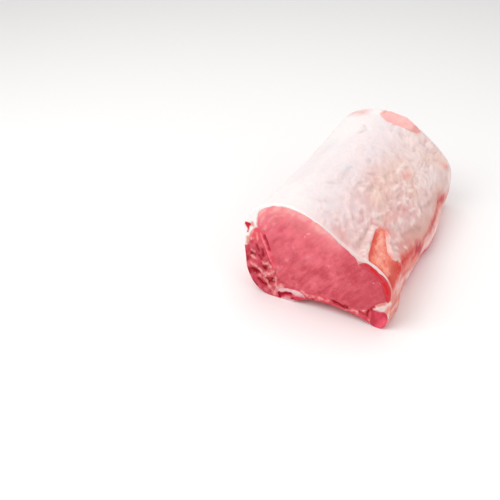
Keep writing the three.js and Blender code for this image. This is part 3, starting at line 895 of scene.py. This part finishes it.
# The small muscle in the lower right corner of the front cut: pink, moist lean, grown to the
# meat beside it, which runs back along the loin's right edge and flattens half way along.
CORNER_OUTLINE = [
    (46.7, 10.4), (46.9, 14.6), (49.6, 15.6), (53, 15.8), (57.6, 16.4), (60.8, 13.4), (60.9, 8.5),
    (59.6, 4), (56.6, -1.5), (50.5, -2.5), (47.4, 0.6), (46.4, 3.6), (46, 7),
]
CORNER_DARK = [(1.6, [(56.4, 14.6), (59.8, 12.6)]), (1, [(48, 14), (48, 8)])]
CORNER_FLATTENING = 0.35
CORNER_FLATTENS = (20, 80)
CORNER_FILLS = (160, 200)


def settle_corner(points, part):
    """The muscle flattens and fills out again"""
    distance = part * LENGTH
    flattening = smooth(distance, *CORNER_FLATTENS) * (1 - smooth(distance, *CORNER_FILLS))
    return points * [1, 1 - CORNER_FLATTENING * flattening]


corner_edge = warped(even_edge(CORNER_OUTLINE, 0.7), 15, 0.3, 4)
corner_meat = to_object("corner_meat", run_along(corner_edge, MUSCLE_PARTS, settle_corner, 0.7))
carve(corner_meat, whole_loin(), "INTERSECT")
carve(corner_meat, room_for(eye_edge, settle=settle_eye), "DIFFERENCE")
carve(corner_meat, room_for(rib_meat_edge), "DIFFERENCE")
swell_cuts(corner_meat, lambda part: settle_corner(corner_edge, part), 0.5)
places = positions(corner_meat)
_, _, flat = on_cut(places)
front, _ = behind_cuts(places)
ragged = warped(flat, 57)
dress(corner_meat, lean_finish(
    "corner_lean", lean=colour(222, 68, 92), deep=colour(194, 56, 74), light=colour(242, 96, 118),
    pale=colour(252, 206, 206), blood=colour(166, 34, 48), rim=colour(252, 104, 126),
), {
    "blood": 0.5 * marks(ragged, CORNER_DARK, 2),
    "sinew": 0.3 * np.clip(ripple(front / 20, flat[:, 0] / 3, 21), 0, 1) * smooth(front, 0.6, 3),
    "rim": marks(ragged, [(2.2, [(54, 2), (57, 7)])], 3),
    "shade": 0.6 * smooth(flat[:, 0], 51, 47),
})
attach(corner_meat, "root")
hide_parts("corner_muscle")


# The fat cover: one coat of firm fat over the top and both sides, nearly white on top and
# blushed and wrinkled on the right flank, with the seams of fat that run in between the muscles.
# The butcher's knife has trimmed it to the lean in windows on the flank and at the back cut.

# The trimmed places, as (along, around): how far behind the front cut, and how far round the
# outside from the lower right corner
FLANK_WINDOW = np.array([
    (1.1, 43), (1.1, 73.4), (7, 75.4), (15, 76.4), (24, 77.6), (34, 79), (42, 79.6), (47, 77.4),
    (48, 72), (43.5, 67.4), (36.5, 65), (31, 61.6), (27.4, 58.8), (25.4, 56), (27, 53), (32, 50),
    (24, 46), (12, 44),
], float)
BACK_WINDOW = np.array([
    (207, 128), (201, 125), (197.5, 119), (196.6, 112), (199, 105), (203, 99.5), (208, 96.5),
    (226, 93), (226, 127), (214, 126),
], float)
WINDOW_DEPTH = 3.6  # deep enough to bare the lean
FLANK_TRIM = (-1.2, 2.4)  # how far inside a window's edge the knife starts and reaches its depth
BACK_TRIM = (-2, 6)
LIP_HEIGHT = 0.45  # the fat's edge stands up a little beside the window on the flank
LIP_AT = 2
LIP_WIDTH = 1.6
CUT_ROUNDING = 0.7  # how much the fat is rounded off at the cuts
CUT_ROUNDING_REACH = 0.6
CALM_WITHIN = 4  # nearer to a cut than this the wrinkles die away
FLOOR_CLEARANCE = 1.2  # the fat ends a little above the floor
FAT_PARTS = np.concatenate([np.arange(0, 66, 1.0), np.arange(66, 192, 1.4),
                            np.linspace(192, 216, 22)]) / LENGTH
# Folds, creases and a lump, each as height, half width and path
FAT_FOLDS = [
    (0.9, 1.7, [(8, 79.6), (24, 80.6), (38, 82)]), (-0.5, 1.3, [(10, 84), (22, 85), (36, 86)]),
    (0.8, 1.8, [(14, 88), (30, 90), (44, 89)]),
    (0.9, 1.5, [(30, 63.6), (26, 61), (23.6, 57), (26, 52)]),
    (0.8, 2.2, [(26, 99), (40, 108), (56, 113)]), (-0.5, 2.2, [(36, 99), (48, 104), (60, 108)]),
    (-0.5, 1.8, [(80, 102), (90, 100)]), (-0.4, 2.5, [(160, 136), (170, 134)]),
    (0.6, 1.8, [(84, 55), (95, 53)]), (0.7, 1.6, [(32, 62), (42, 61), (50, 58)]),
    (-0.6, 1.6, [(56, 57), (72, 52), (90, 46)]), (1.3, 2.6, [(198, 52), (207, 49)]),
    (-0.5, 2.2, [(205, 60), (213, 62)]), (0.35, 1.4, [(58, 136), (66, 129), (80, 130), (96, 129)]),
    (-0.2, 1.2, [(55, 133), (62, 126), (68, 123.6), (80, 126), (96, 125)]),
    (-0.2, 1.2, [(26, 128), (30, 124.6)]), (-0.2, 1.4, [(118, 146), (126, 140), (132, 137)]),
    (-0.2, 1.3, [(38, 126), (46, 121), (56, 119)]),
]
# Above this line the fat on the flank is thick, and below it the lean shows through
THICK_FAT_LINE = [
    (0, 50), (24, 50), (32, 51), (43, 50), (56, 47), (65, 45), (75, 43), (87, 38.5), (98, 34),
    (112, 32), (121, 32), (130, 33), (141, 36), (156, 42), (165, 41), (173, 37), (186, 31),
    (201, 24), (216, 18),
]
# Stains in the fat and painted light on its skin, each as a colour, a strength, how far its edges
# fade, and strokes
FAT_STAINS = {
    "mauve": (colour(224, 186, 190), 0.4, 10, [
        (9, [(30, 92), (48, 96), (60, 102)]), (6, [(5, 92), (6, 116)]), (5, [(66, 58), (100, 62)]),
        (5, [(104, 55), (124, 52)]), (6, [(20, 196), (90, 201), (150, 194), (205, 198)]),
    ]),
    "lilac": (colour(232, 216, 222), 0.6, 12, [
        (8, [(14, 120), (60, 126), (110, 124)]), (8, [(120, 116), (150, 118), (186, 118)]),
        (6, [(30, 104), (44, 108)]), (3, [(30, 140), (90, 146), (150, 142)]),
        (7, [(60, 162), (140, 166)]),
    ]),
    "peach": (colour(240, 200, 182), 0.5, 8, [
        (7, [(76, 92), (110, 96), (150, 90)]), (7, [(120, 66), (136, 76), (150, 84)]),
        (7, [(180, 78), (205, 60)]), (2, [(60, 78), (72, 80)]), (3, [(36, 192), (66, 194)]),
        (3, [(130, 190), (168, 194)]),
    ]),
    "tan": (colour(210, 148, 130), 0.75, 7, [
        (5, [(52, 52), (74, 48), (100, 42), (124, 38)]), (3.5, [(140, 42), (166, 44)]),
        (2, [(176, 42), (196, 40)]),
    ]),
    "rose": (colour(220, 146, 142), 0.7, 5, [
        (4.5, [(36, 56), (48, 55), (62, 49)]), (2, [(46, 84), (50, 66)]),
        (3, [(60, 76), (80, 70)]), (2, [(2, 94), (8, 104)]), (3, [(90, 66), (104, 58)]),
    ]),
    "salmon": (colour(236, 132, 116), 0.95, 5, [
        (3, [(45, 73.6), (48, 72)]), (6, [(2, 46), (22, 44), (44, 38), (66, 32), (84, 22)]),
        (1, [(134, 83), (140, 82)]), (1.3, [(200, 53), (204, 51)]), (2, [(1, 71), (1, 62)]),
        (2.5, [(204, 99), (214, 98)]),
    ]),
    "red": (colour(210, 44, 46), 1.15, 3.5, [
        (3.6, [(0, 46), (10, 46.6), (22, 47.5), (40, 45)]),
        (2.2, [(40, 44.5), (52, 42.5), (68, 39.5)]), (1.2, [(34, 35), (46, 29), (58, 23)]),
        (2, [(60, 34), (66, 32), (73, 30)]), (0.7, [(20, 37.6), (32, 36), (44, 33)]),
        (0.5, [(3, 26), (12, 24)]), (0.8, [(24, 26.6), (36, 24)]),
    ]),
    "crimson": (colour(190, 24, 50), 1.2, 4, [
        (4.6, [(76, 36), (84, 31.5), (92, 26), (100, 20)]), (1, [(100, 30), (112, 28)]),
        (1.2, [(118, 28), (134, 30), (150, 33)]), (2.0, [(157, 37.5), (168, 34), (182, 29)]),
    ]),
    "brown": (colour(172, 118, 102), 0.5, 2.4, [
        (0.7, [(163, 41.5), (172, 40.5), (180, 38)]), (0.6, [(60, 57), (78, 51), (96, 44)]),
        (0.7, [(44, 31), (56, 25)]), (0.5, [(140, 31.5), (150, 32)]),
        (0.5, [(118, 52), (130, 48), (142, 46)]),
    ]),
    # painted shade: grey-brown in the creases and hollows of the wrinkled skin
    "crease_shade": (colour(186, 166, 158), 0.5, 3, [
        (1.2, [(80, 103), (88, 100)]), (0.9, [(114, 115), (118, 115)]),
        (1.3, [(158, 137), (166, 134), (172, 137)]), (1.0, [(73, 87), (80, 88)]),
        (0.8, [(12, 84), (22, 85), (34, 86)]), (1.0, [(60, 68), (66, 66)]),
        (1.2, [(56, 84), (62, 82)]), (1.0, [(38, 58), (44, 57)]), (0.8, [(110, 96), (120, 97)]),
        (0.5, [(55, 133), (62, 126), (68, 123.6), (80, 126), (96, 125)]),
        (0.7, [(26, 128), (30, 124.6)]),
    ]),
    # the curled cream lip round the window, and small painted highlights (glints) on the folds
    # beside it
    "cream_and_glints": (colour(255, 240, 234), 1.0, 1.6, [
        (0.9, [(38, 65.4), (30, 62.6), (26, 60.4), (24.4, 57), (26.6, 53), (32, 50.2)]),
        (0.6, [(84, 53.5), (92, 53)]), (0.6, [(40, 57.6), (42, 56)]),
        (0.6, [(52, 51), (54, 48.6)]), (0.5, [(104, 52), (112, 51.4)]),
        (0.6, [(126, 92), (150, 90)]), (0.6, [(98, 60), (106, 58)]), (0.7, [(108, 69), (112, 66)]),
    ]),
    "dark": (colour(196, 84, 98), 0.6, 4, [
        (2.4, [(6, 34), (11, 28), (12, 16)]), (1, [(18, 30), (20, 20)]),
    ]),
    # pale fat low on the flank, and painted highlights along the crests of the folds above the
    # window and on the flank
    "pale": (colour(252, 224, 220), 0.8, 3, [
        (1.7, [(13, 37), (20, 36.2), (30, 32.6), (40, 28), (50, 22.6), (62, 16)]),
        (3, [(62, 14), (90, 10), (120, 12)]), (4, [(102, 17), (124, 20), (142, 22), (160, 20)]),
        (1.2, [(108, 25), (130, 25.4), (156, 27), (174, 24)]),
        (3, [(160, 20), (185, 16), (210, 12)]), (4, [(204, 40), (214, 34)]),
        (0.8, [(30, 62), (33, 56), (36, 54)]), (0.7, [(44, 62), (50, 59), (54, 58)]),
        (0.6, [(36, 60), (38, 59)]), (1.4, [(24, 98), (38, 106.6), (52, 112)]),
        (1.2, [(84, 53.5), (92, 53)]), (0.9, [(104, 52), (112, 51.4)]),
        (1.4, [(14, 80.4), (30, 81.6), (38, 82)]), (0.5, [(3, 41), (14, 40.4), (22, 42)]),
        (0.4, [(12, 32), (24, 29), (34, 27)]), (0.6, [(24, 22), (40, 15)]),
        (0.4, [(4, 22), (16, 20)]),
    ]),
}
# Blood in the skin, and blood, crimson and blush in the fat at the front cut
FAT_BLOOD = [(0.5, [(136.5, 83), (138, 83.4)])]
FAT_CUT_BLOOD = [
    (1.7, [(-62.6, 62.6), (-60.2, 62.6)]), (1.7, [(-61.4, 60.6)]), (1.1, [(-61.3, 58.5)]),
    (0.6, [(-61.3, 57), (-61.3, 55)]),
]
FAT_CUT_CRIMSON = [
    (1.6, [(45.6, 16.4), (46.6, 10), (46.8, 4), (47.4, 0)]), (1.0, [(44.4, 17), (47.6, 18.6)]),
]
FAT_CUT_BLUSH = [
    (2.4, [(57.6, 44), (60.2, 38), (60.6, 30)]), (1.0, [(-61.8, 44), (-61.4, 50)]),
    (1.2, [(-57, 62.6), (-57.6, 64.4)]), (1.0, [(61.4, 24), (61.6, 14)]),
    (0.8, [(-57, 52), (-56.4, 55)]), (0.8, [(33, 53.6), (33.4, 55)]),
    (1.2, [(58.4, 17.6), (59.6, 22)]), (0.3, [(51, 20.4), (56, 24)]),
]


# By how far round they are: how wrinkled the skin over the fat is, and how flushed the fat is
WRINKLES = [
    (0, 0.4), (25, 0.35), (45, 0.8), (60, 1), (95, 1), (112, 0.8), (135, 0.35), (160, 0.14),
    (185, 0.3), (215, 0.5), (230, 0.6),
]
FLUSH = [
    (0, 1), (60, 1), (80, 0.95), (100, 0.88), (112, 0.68), (125, 0.42), (150, 0.2), (170, 0.14),
    (200, 0.25), (230, 0.6),
]


def wrinkled(along, around):
    """How wrinkled the skin over the fat is: most on the right flank, hardly on top"""
    here = np.interp(around, *np.transpose(WRINKLES))
    return here * (0.55 + 0.45 * smooth(ripple(along / 30, around / 30, 40), -0.5, 0.3))


def crumple(along, around):
    """How high the wrinkled skin lies, from about -1 in the creases to 1 on the folds"""
    u = along + 3.5 * ripple(along / 20, around / 13, 46)
    v = around + 2.5 * ripple(along / 20, around / 13, 47)
    low = smooth(around, 48, 32)
    bulges = 0.8 * ripple(u / 12, v / 7.5, 41) + 0.7 * ripple(u / 6, v / 3.8, 42)
    folds = np.clip(1 - 2.6 * np.abs(ripple(u / 15, (v - 0.2 * u) / 7, 43)), 0, 1)
    folds *= smooth(ripple(u / 13, v / 8, 48), -0.3, 0.4)
    creases = np.clip(1 - 2.8 * np.abs(ripple(u / 12, (v + 0.25 * u) / 6.5, 49)), 0, 1)
    creases *= smooth(ripple(u / 12, v / 8, 50), -0.3, 0.4)
    glints = smooth(ripple(u / 4, v / 2.6, 51), 0.3, 0.8)
    ropes = ripple(u / 24, (v + 0.42 * u) / 4, 44)
    return (1 - low) * (bulges + 0.8 * folds - 0.9 * creases + 0.5 * glints) + low * ropes


def fat_relief(along, around):
    """How far the skin of the fat stands out, in millimetres"""
    relief = 0.6 * wrinkled(along, around) * np.clip(crumple(along, around), -1.2, 2)
    relief += 0.35 * ripple(along / 26, around / 20, 45)
    spots = warped(np.column_stack([along, around]), 47, 1.5, 6)
    for height, reach, path in FAT_FOLDS:
        relief = relief + height * smooth(marks(spots, [(reach, path)], reach), 0, 1)
    return relief


def in_windows(along, around):
    """How far points lie inside the trimmed windows; negative outside them"""
    spots = warped(np.column_stack([along, around]), 81, 0.6, 10)
    return depth(spots, FLANK_WINDOW), depth(spots, BACK_WINDOW)


def settle_fat(points, part):
    """The fat's skin: wrinkled, trimmed in the windows and rounded off at both cuts"""
    settled = settle_outside(points, part)
    places = place(settled, part)
    along, around = unrolled(places)
    ends = np.minimum(*behind_cuts(places))
    flank_depth, back_depth = in_windows(along, around)
    trim = np.maximum(smooth(flank_depth, *FLANK_TRIM), smooth(back_depth, *BACK_TRIM))
    lip = LIP_HEIGHT * np.exp(-((flank_depth + LIP_AT) / LIP_WIDTH) ** 2)
    lift = (fat_relief(along, around) * smooth(ends, 0, CALM_WITHIN) + lip) * (1 - trim)
    lift -= WINDOW_DEPTH * trim + CUT_ROUNDING * np.exp(-ends / CUT_ROUNDING_REACH)
    return grow(settled, lift[:, None])


fat_edge = even_edge(FRONT_OUTLINE, 0.85)
fat_coat = to_object("fat_coat", run_along(fat_edge, FAT_PARTS, settle_fat, 0.8))
carve(fat_coat, above(FLOOR_CLEARANCE), "INTERSECT")
for room in (
    room_for(eye_edge, settle=settle_eye), room_for(flank_edge, FLANK_PARTS, settle_flank),
    room_for(strip_edge), room_for(rib_meat_edge, settle=settle_rib_meat),
    room_for(corner_edge, settle=settle_corner),
    to_object("room", run_along(rib_room, room_parts, settle_rib)),
):
    carve(fat_coat, room, "DIFFERENCE")
drop_crumbs(fat_coat)

places = positions(fat_coat)
front_cut, back_cut, flat = on_cut(places)
seams = np.max([depth(flat, edge) for edge in (
    eye_edge, flank_edge, strip_edge, rib_meat_edge, corner_edge)], 0)
along, around = unrolled(places)
spots = warped(np.column_stack([along, around]), 91, 1.2, 5)
ragged = warped(flat, 93, 0.5)
outer = ~(front_cut | back_cut)
height = crumple(along, around)
flank_depth, back_depth = in_windows(along, around)
over_line = spots[:, 1] - np.interp(spots[:, 0], *np.transpose(THICK_FAT_LINE))
left_blush = smooth(-flat[:, 0], 46, 54) * smooth(along, 2, 16) * (
    0.35 * smooth(flat[:, 1], 60, 44)
    + 0.6 * smooth(flat[:, 1] + 2.5 * ripple(along / 9, around / 4, 72), 50, 42))
low_blush = smooth(over_line, 9, -5) * (around < 90)
far_blush = 0.55 * marks(spots, [(6, [(207, 150), (213, 164)])], 6)
window_edges = 0.9 * smooth(flank_depth, -1.4, 0.2) + smooth(back_depth, -4, 1)
below_skin = depth(flat, closed_curve(FRONT_OUTLINE, OUTSIDE_POINTS))
in_seam = smooth(seams, -1.5, 0) * smooth(below_skin, 2, 5)
flush = (1 - 0.4 * smooth(along, 90, 180)) * np.interp(around, *np.transpose(FLUSH))
masks = {
    "flush": np.where(outer, flush, 0.6 * flush * smooth(flat[:, 0], -30, 10)),
    # the skin's relief, by which the finish paints highlight on its folds and shade in its creases
    "height": np.where(outer, 0.5 + 0.3 * height * wrinkled(along, around), 0.5),
    "lean": np.clip(np.where(outer, low_blush + left_blush + far_blush + window_edges,
                             0.9 * in_seam + 1.3 * marks(ragged, FAT_CUT_BLUSH, 1.3)
                             + smooth(back_depth, -5, -1)), 0, 1),
    "blood": np.where(outer, 0.5 * marks(spots, FAT_BLOOD, 1.3), marks(ragged, FAT_CUT_BLOOD, 1.1)),
}
for name, (_, strength, fade, strokes) in FAT_STAINS.items():
    on_cuts = 1.2 * marks(ragged, FAT_CUT_CRIMSON, 0.9) if name == "crimson" else 0
    masks[name] = np.where(outer, strength * marks(spots, strokes, fade), on_cuts)

WHITE_FAT = {
    "IOR": 1.42, "Specular IOR Level": 0.22, "Coat Roughness": 0.35,
    "Subsurface Weight": 0.25, "Subsurface Radius": (1.0, 0.5, 0.4), "Subsurface Scale": 0.0025,
}
finish = Finish("fat_cover", WHITE_FAT)
flush, height, lean = finish.mask("flush"), finish.mask("height"), finish.mask("lean")
where = finish.node("TexCoord", {}, {}, "Object")
clouds, blots = finish.noise(where, 32, 2), finish.noise(where, 120, 3)
crumbs = finish.noise(where, 380, 2)
puckers = finish.noise(where, 260, 3, (1, 1.8, 1), (math.radians(12), 0, 0))
body = finish.blend(colour(252, 246, 245), colour(228, 189, 184), flush * (clouds * 0.6 + 0.72))
# Painted highlight on the raised folds of the skin and painted shade in its creases, following its
# relief
relief_for_painted_light = height + (blots - 0.5) * 0.5 + (puckers - 0.5) * 0.5
body = finish.blend(body, colour(255, 236, 228), flush * finish.ramp(relief_for_painted_light, 0.5, 0.85) * 0.7)
body = finish.blend(body, colour(200, 150, 142), flush * finish.ramp(relief_for_painted_light, 0.56, 0.1) * 0.7)
body = finish.blend(body, colour(230, 136, 122), lean * (blots * 0.6 + 0.6))
patchy = blots * 1.5 + crumbs * 0.5 + relief_for_painted_light * 0.3 - 0.25
for name, (tint, *_) in FAT_STAINS.items():
    body = finish.blend(body, tint, finish.mask(name) * patchy)
body = finish.blend(body, colour(205, 12, 40), finish.ramp(finish.mask("blood"), 0.15, 0.8))
relief = (blots * 0.6 + puckers * 0.7) * (flush * 0.85 + 0.08) + crumbs * 0.12
finish.set(finish.surface, {
    "Base Color": body,
    "Roughness": crumbs * 0.2 + 0.38,
    "Coat Weight": flush * (1 - lean) * finish.ramp(blots, 0.5, 0.65) * 0.2,
    "Normal": finish.node("Bump", {}, {"Strength": 0.6, "Distance": 0.0016, "Height": relief}),
})
dress(fat_coat, finish.material, masks)
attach(fat_coat, "root")
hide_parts("fat_cover")


# The room: a plain white floor under soft studio light, seen from where the photograph was taken.
FLOOR_REACH = 3.0
LAMPS_AIM = Vector((0, 0, 0.04))
ROOM_LIGHT = 0.55
CAMERA_PLACE = (0.15667, -0.59572, 0.390)
CAMERA_TILT = math.radians(57)
CAMERA_TURN = math.radians(23.5)
FOCAL_LENGTH = 57.67

floor_mesh = bpy.data.meshes.new("floor")
floor_mesh.from_pydata([(x * FLOOR_REACH, y * FLOOR_REACH, 0)
                        for x, y in ((-1, -1), (1, -1), (1, 1), (-1, 1))], [], [[0, 1, 2, 3]])
floor = bpy.data.objects.new("floor", floor_mesh)
bpy.context.scene.collection.objects.link(floor)
floor_mesh.materials.append(Finish("pale_floor", {
    "Base Color": colour(252, 251, 250), "Roughness": 0.8}).material)


def soft_light(name, energy, size, from_where):
    """A square soft lamp that shines on the loin"""
    light = bpy.data.lights.new(name, "AREA")
    light.energy, light.size = energy, size
    lamp = bpy.data.objects.new(name, light)
    lamp.location = from_where
    aim = LAMPS_AIM - Vector(from_where)
    lamp.rotation_euler = aim.to_track_quat("-Z", "Y").to_euler()
    bpy.context.scene.collection.objects.link(lamp)


soft_light("key", 4.6, 0.7, (-0.45, -0.55, 0.85))
soft_light("top", 3.0, 0.9, (-0.1, 0.2, 1.0))
soft_light("fill", 2.0, 0.8, (0.9, -0.3, 0.5))

world = bpy.data.worlds.new("studio")
world.use_nodes = True
world.node_tree.nodes["Background"].inputs["Color"].default_value = (1, 1, 1, 1)
world.node_tree.nodes["Background"].inputs["Strength"].default_value = ROOM_LIGHT
bpy.context.scene.world = world
bpy.context.scene.view_settings.view_transform = "Standard"

camera = bpy.data.objects.new("camera", bpy.data.cameras.new("camera"))
camera.location = CAMERA_PLACE
camera.rotation_euler = (CAMERA_TILT, 0, CAMERA_TURN)
camera.data.sensor_width = 36
camera.data.lens = FOCAL_LENGTH
bpy.context.scene.collection.objects.link(camera)
bpy.context.scene.camera = camera
